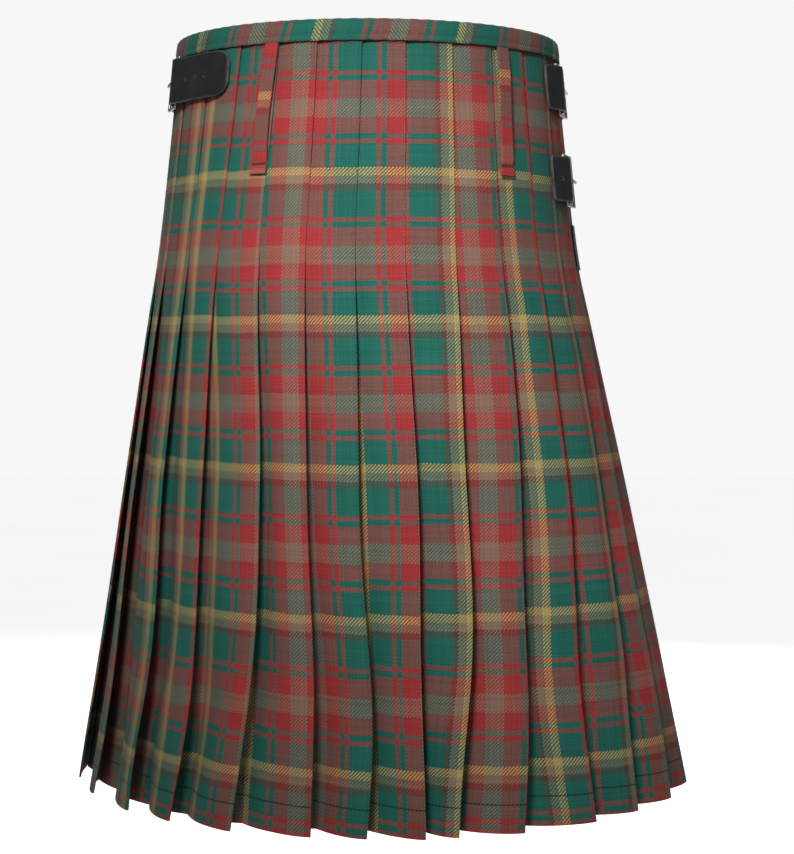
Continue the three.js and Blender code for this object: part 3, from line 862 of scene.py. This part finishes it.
for strap in straps:
    route = chape_route(strap)
    halves = []
    for low, high in ((-chape_half, -slot_half), (slot_half, chape_half)):
        across = np.linspace(low, high, 8)
        halves.append(on_strap(strap, route[:, 0][:, None], across[None, :], route[:, 1][:, None]))
    middle = on_strap(
        strap, route[:4, 0][:, None], np.linspace(-slot_half, slot_half, 3)[None, :], route[:4, 1][:, None]
    )
    tabs = []
    for count, points in enumerate([*halves, middle]):
        # The tab's sewn end is marked for the painted highlight.
        rim = np.zeros(points.shape[:2])
        rim[0, :] = 1
        tabs.append(leather_piece(f"tab_{strap['name']}_{count}", points, rim))
    bpy.ops.object.select_all(action="DESELECT")
    for tab in tabs:
        tab.select_set(True)
    bpy.context.view_layer.objects.active = tabs[0]
    bpy.ops.object.join()
    piece = bpy.context.object
    piece.name = "chape_" + strap["name"] + "_leather"
    bpy.ops.object.mode_set(mode="EDIT")
    bpy.ops.mesh.select_all(action="SELECT")
    bpy.ops.mesh.remove_doubles(threshold=0.00005)
    bpy.ops.mesh.normals_make_consistent(inside=False)
    bpy.ops.object.mode_set(mode="OBJECT")
    wall = piece.modifiers.new("wall", "SOLIDIFY")
    wall.thickness = chape_thick - 0.0004
    wall.offset = 0
    bpy.ops.object.modifier_apply(modifier=wall.name)
    smoothed(piece)
    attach(piece, "root")
    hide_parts("chape_" + strap["name"])


# --- The buckles ----------------------------------------------------------------------------
# Plain rectangular frames of plated wire, slightly rounded at the corners. The prong of each
# turns on the heel bar, comes up through the strap and rests on the far bar.

wire = 0.0024
buckle_height = 0.043
far_bar_rise = strap_thick + 2 * ease + 0.0013

plating, tree, shader = new_material("plated_metal")
place = tree.nodes.new("ShaderNodeTexCoord").outputs["Object"]
scuff = tree.nodes.new("ShaderNodeTexNoise")
scuff.inputs["Scale"].default_value = 260
scuff.inputs["Detail"].default_value = 6
tree.links.new(place, scuff.inputs["Vector"])
metal = tree.nodes.new("ShaderNodeValToRGB")
metal.color_ramp.elements[0].color = (0.22, 0.215, 0.21, 1)
metal.color_ramp.elements[1].color = (0.42, 0.41, 0.395, 1)
tree.links.new(scuff.outputs["Fac"], metal.inputs["Fac"])
tree.links.new(metal.outputs["Color"], shader.inputs["Base Color"])
dulled = node_maths(tree, "MULTIPLY_ADD", scuff.outputs["Fac"], 0.20, 0.26)
tree.links.new(dulled, shader.inputs["Roughness"])
shader.inputs["Metallic"].default_value = 1.0

for strap in straps:
    heel = Vector(on_strap(strap, 0.0, np.array(0.0), heel_rise))
    far = Vector(on_strap(strap, -buckle_reach, np.array(0.0), far_bar_rise))
    above = Vector(on_strap(strap, 0.0, np.array(0.01), 0.0))
    below = Vector(on_strap(strap, 0.0, np.array(-0.01), 0.0))
    up = above - below
    along = (heel - far).normalized()
    up = (up - along * up.dot(along)).normalized()
    out = along.cross(up)
    bpy.ops.object.select_all(action="DESELECT")
    bpy.ops.mesh.primitive_plane_add(size=1)
    piece = bpy.context.object
    piece.scale = (buckle_reach + wire, buckle_height, 1)
    bpy.ops.object.transform_apply(scale=True)
    bpy.ops.object.mode_set(mode="EDIT")
    bpy.ops.mesh.select_all(action="SELECT")
    bpy.ops.mesh.inset(thickness=wire)
    bpy.ops.mesh.delete(type="FACE")
    bpy.ops.object.mode_set(mode="OBJECT")
    wall = piece.modifiers.new("wall", "SOLIDIFY")
    wall.thickness = wire * 0.9
    wall.offset = 0
    bpy.ops.object.modifier_apply(modifier=wall.name)
    soften = piece.modifiers.new("soften", "BEVEL")
    soften.width = wire * 0.36
    soften.segments = 4
    soften.limit_method = "ANGLE"
    bpy.ops.object.modifier_apply(modifier=soften.name)
    basis = Matrix((along, up, out)).transposed().to_4x4()
    piece.data.transform(Matrix.Translation((heel + far) / 2) @ basis)
    piece.name = "buckle_" + strap["name"] + "_frame"
    piece.data.materials.append(plating)
    smoothed(piece)
    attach(piece, "root")
    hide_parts("buckle_" + strap["name"])
    prong = bpy.data.objects["prong_" + strap["name"]]
    prong.data.materials.clear()
    prong.data.materials.append(plating)


# --- The label ------------------------------------------------------------------------------
# A small patch of black tape, sewn at the right hip and left plain.

label_from, label_to = 77.5, 93.0
label_top, label_bottom = 0.150, 0.186
label_rise = 0.0013
tape_thick = 0.0008

label_cloth, tree, shader = new_material("label_tape")
place = tree.nodes.new("ShaderNodeTexCoord").outputs["Object"]
rib = tree.nodes.new("ShaderNodeTexWave")
rib.wave_type = "BANDS"
rib.bands_direction = "Z"
rib.inputs["Scale"].default_value = 420
rib.inputs["Distortion"].default_value = 0.6
tree.links.new(place, rib.inputs["Vector"])
tape = tree.nodes.new("ShaderNodeValToRGB")
tape.color_ramp.elements[0].color = (0.006, 0.006, 0.008, 1)
tape.color_ramp.elements[1].color = (0.022, 0.022, 0.025, 1)
tree.links.new(rib.outputs["Fac"], tape.inputs["Fac"])
tree.links.new(tape.outputs["Color"], shader.inputs["Base Color"])
shader.inputs["Roughness"].default_value = 0.75

around = np.linspace(label_from, label_to, 16)
down = np.linspace(label_top, label_bottom, 12)
points = at(around[:, None], down[None, :], -label_rise)
no_cut = np.zeros((*points.shape[:2], 2))
piece = cloth_piece("label_patch_tape", points, no_cut, tape_thick)
piece.data.materials[0] = label_cloth
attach(piece, "root")
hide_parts("label_patch")
